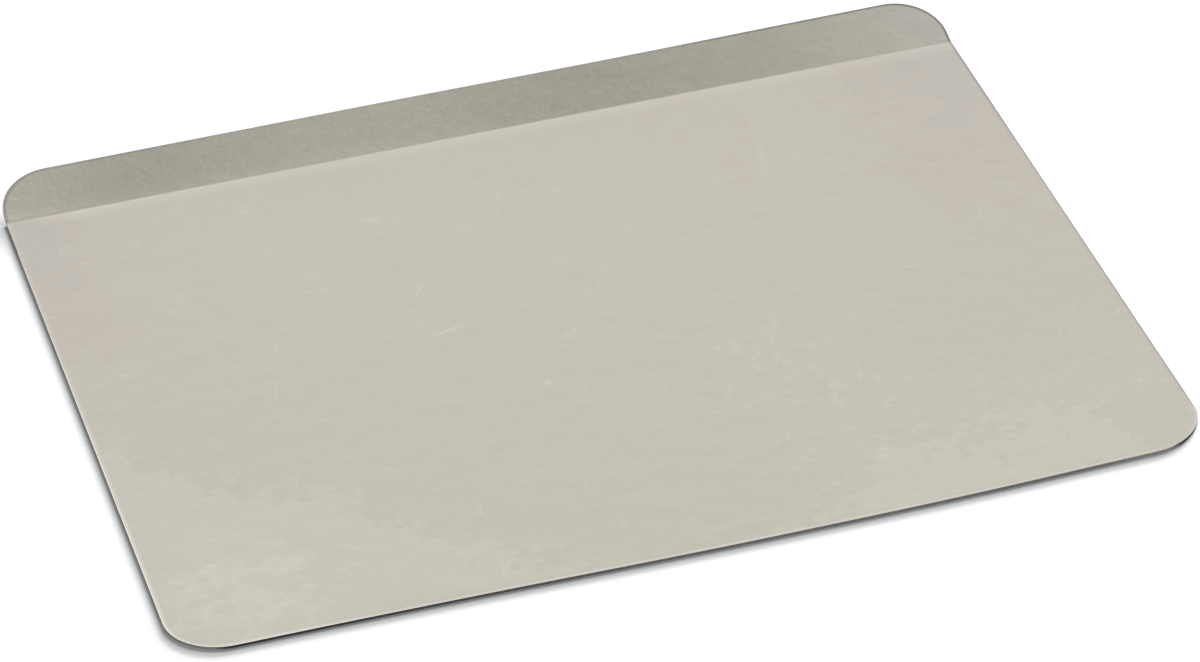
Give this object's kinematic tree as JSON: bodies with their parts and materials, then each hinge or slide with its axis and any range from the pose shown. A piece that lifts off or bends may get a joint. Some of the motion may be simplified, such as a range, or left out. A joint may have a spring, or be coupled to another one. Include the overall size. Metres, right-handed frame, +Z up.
{
  "type": "cookie sheet",
  "caption": "Flat metal baking sheet with rounded corners, open on three sides, with one long side turned up into a shallow lip to hold it by.",
  "frame": {"origin": "on the underside, below the middle of the overall length and depth, in the plane that the sheet rests on", "axes": "+X along the lip, +Y from the open front edge towards the lip, +Z up out of the baking face"},
  "size_m": [0.4064, 0.3555, 0.0093],
  "materials": {
    "satin_sheet_metal": "uncoated, matt satin, faintly warm grey"
  },
  "bodies": {
    "root": {"cookie_sheet": "satin_sheet_metal"}
  },
  "joints": []
}
